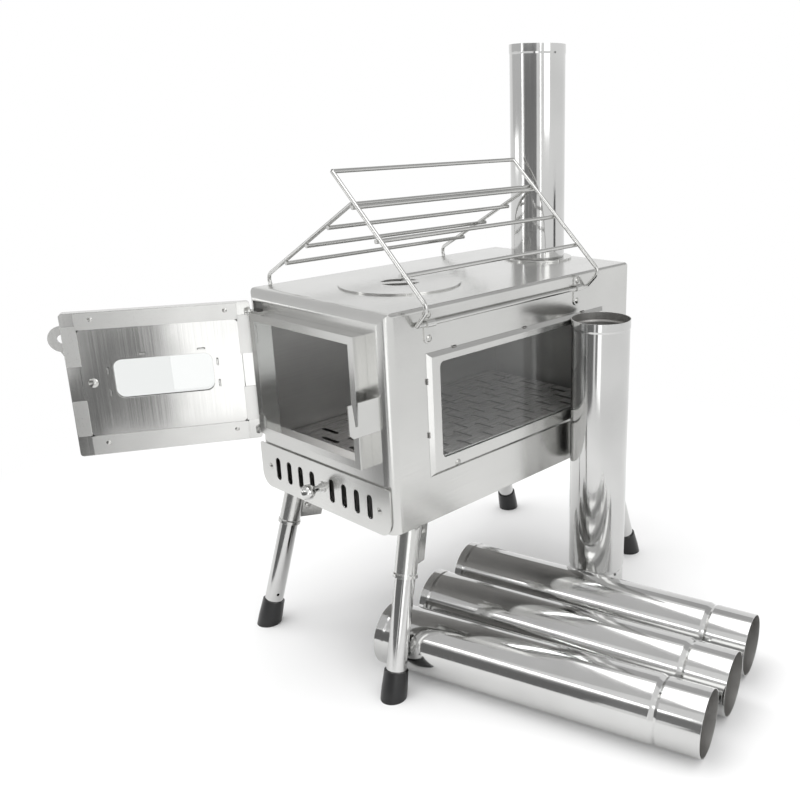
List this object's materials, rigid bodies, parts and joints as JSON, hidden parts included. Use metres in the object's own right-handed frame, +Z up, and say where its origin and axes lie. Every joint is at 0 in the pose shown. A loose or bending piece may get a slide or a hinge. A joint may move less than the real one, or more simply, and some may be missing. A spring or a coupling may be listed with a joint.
{
  "type": "camping wood stove",
  "caption": "Folding-rack camping wood stove of stainless sheet: glazed door with latch, side window, ash drawer, hot plate, plug-in legs, chimney section and spare pipes.",
  "frame": {"origin": "on the ground, at the middle of the set's own outline (stove with open door and spare pipes)", "axes": "+Z up, the door side faces -Y, the glazed side wall faces +X"},
  "size_m": [0.5536, 0.5394, 0.5851],
  "materials": {
    "stainless_satin": "satin stainless sheet",
    "stainless_polished": "polished stainless",
    "stainless_inner": "plain mill finish stainless",
    "stainless_wire": "drawn stainless wire",
    "fastener_steel": "bright rivets",
    "stove_glass": "clear heat-resistant glass",
    "foot_rubber": "matt black rubber"
  },
  "bodies": {
    "root": {"firebox_shell": "stainless_satin", "front_collar": "stainless_satin", "back_panel": "stainless_satin", "bottom_panel": "stainless_inner", "grate_rails": "stainless_inner", "fire_grate": "stainless_inner", "window_frame": "stainless_satin", "window_glass": "stove_glass", "window_tabs": "stainless_inner", "window_rivets": "fastener_steel", "plate_seat": "stainless_inner", "flue_collar": "stainless_satin", "latch_catch": "stainless_satin", "catch_rivet": "fastener_steel", "hinge_lugs": "stainless_satin", "hinge_pins": "fastener_steel", "rack_clips": "stainless_satin", "clip_rivets": "fastener_steel", "leg_socket_fl": "stainless_satin", "leg_socket_fr": "stainless_satin", "leg_socket_bl": "stainless_satin", "leg_socket_br": "stainless_satin", "socket_rivets": "fastener_steel"},
    "door": {"door_pan": "stainless_satin", "door_liner": "stainless_polished", "door_glass": "stove_glass", "glass_retainer": "stainless_inner", "door_rivets": "fastener_steel", "latch_pivot": "fastener_steel"},
    "latch": {"latch_lever": "stainless_satin"},
    "drawer": {"drawer_front": "stainless_satin", "ash_tray": "stainless_inner", "drawer_knob": "stainless_polished", "drawer_rivets": "fastener_steel"},
    "hot_plate": {"hot_plate": "stainless_satin"},
    "right_rack": {"right_rack": "stainless_wire"},
    "left_rack": {"left_rack": "stainless_wire"},
    "chimney": {"chimney_pipe": "stainless_polished"},
    "spare_standing": {"spare_pipe_standing": "stainless_polished"},
    "spare_1": {"spare_pipe_1": "stainless_polished"},
    "spare_2": {"spare_pipe_2": "stainless_polished"},
    "spare_3": {"spare_pipe_3": "stainless_polished"},
    "leg_fl": {"leg_tube_fl": "stainless_polished", "foot_cap_fl": "foot_rubber"},
    "leg_fr": {"leg_tube_fr": "stainless_polished", "foot_cap_fr": "foot_rubber"},
    "leg_bl": {"leg_tube_bl": "stainless_polished", "foot_cap_bl": "foot_rubber"},
    "leg_br": {"leg_tube_br": "stainless_polished", "foot_cap_br": "foot_rubber"}
  },
  "joints": [
    {"name": "door_hinge", "type": "hinge", "parent": "root", "child": "door", "pos_m": [-0.17197, -0.12601, 0.2805], "axis": [0, 0, -1], "range_deg": [-121, 10]},
    {"name": "latch_turn", "type": "hinge", "parent": "door", "child": "latch", "pos_m": [-0.25853, -0.24017, 0.28254], "axis": [-0.8572, 0.515, 0], "range_deg": [-62, 28]},
    {"name": "drawer_slide", "type": "slide", "parent": "root", "child": "drawer", "axis": [0, -1, 0], "range_m": [0, 0.22]},
    {"name": "hot_plate_lift", "type": "slide", "parent": "root", "child": "hot_plate", "axis": [0, 0, 1], "range_m": [0, 0.015]},
    {"name": "right_rack_fold", "type": "hinge", "parent": "root", "child": "right_rack", "pos_m": [0.01203, 0.05999, 0.3447], "axis": [0, -1, 0], "range_deg": [-137.3, 0]},
    {"name": "left_rack_fold", "type": "hinge", "parent": "root", "child": "left_rack", "pos_m": [-0.19397, 0.05999, 0.3447], "axis": [0, -1, 0], "range_deg": [0, 150.8]},
    {"name": "chimney_lift", "type": "slide", "parent": "root", "child": "chimney", "axis": [0, 0, 1], "range_m": [0, 0.08]},
    {"name": "leg_fl_pull", "type": "slide", "parent": "root", "child": "leg_fl", "axis": [-0.0841, -0.259, -0.9622], "range_m": [0, 0.038]},
    {"name": "leg_fr_pull", "type": "slide", "parent": "root", "child": "leg_fr", "axis": [0.0841, -0.259, -0.9622], "range_m": [0, 0.038]},
    {"name": "leg_bl_pull", "type": "slide", "parent": "root", "child": "leg_bl", "axis": [-0.0841, 0.259, -0.9622], "range_m": [0, 0.038]},
    {"name": "leg_br_pull", "type": "slide", "parent": "root", "child": "leg_br", "axis": [0.0841, 0.259, -0.9622], "range_m": [0, 0.038]},
    {"name": "spare_1_slide", "type": "slide", "parent": "root", "child": "spare_1", "axis": [0.9686, 0.2487, 0], "range_m": [0, 0.08]},
    {"name": "spare_2_slide", "type": "slide", "parent": "root", "child": "spare_2", "axis": [0.9763, 0.2164, 0], "range_m": [0, 0.08]},
    {"name": "spare_3_slide", "type": "slide", "parent": "root", "child": "spare_3", "axis": [0.9774, 0.2113, 0], "range_m": [0, 0.08]},
    {"name": "spare_standing_slide", "type": "slide", "parent": "root", "child": "spare_standing", "axis": [0.9774, 0.2113, 0], "range_m": [0, 0.08]}
  ]
}
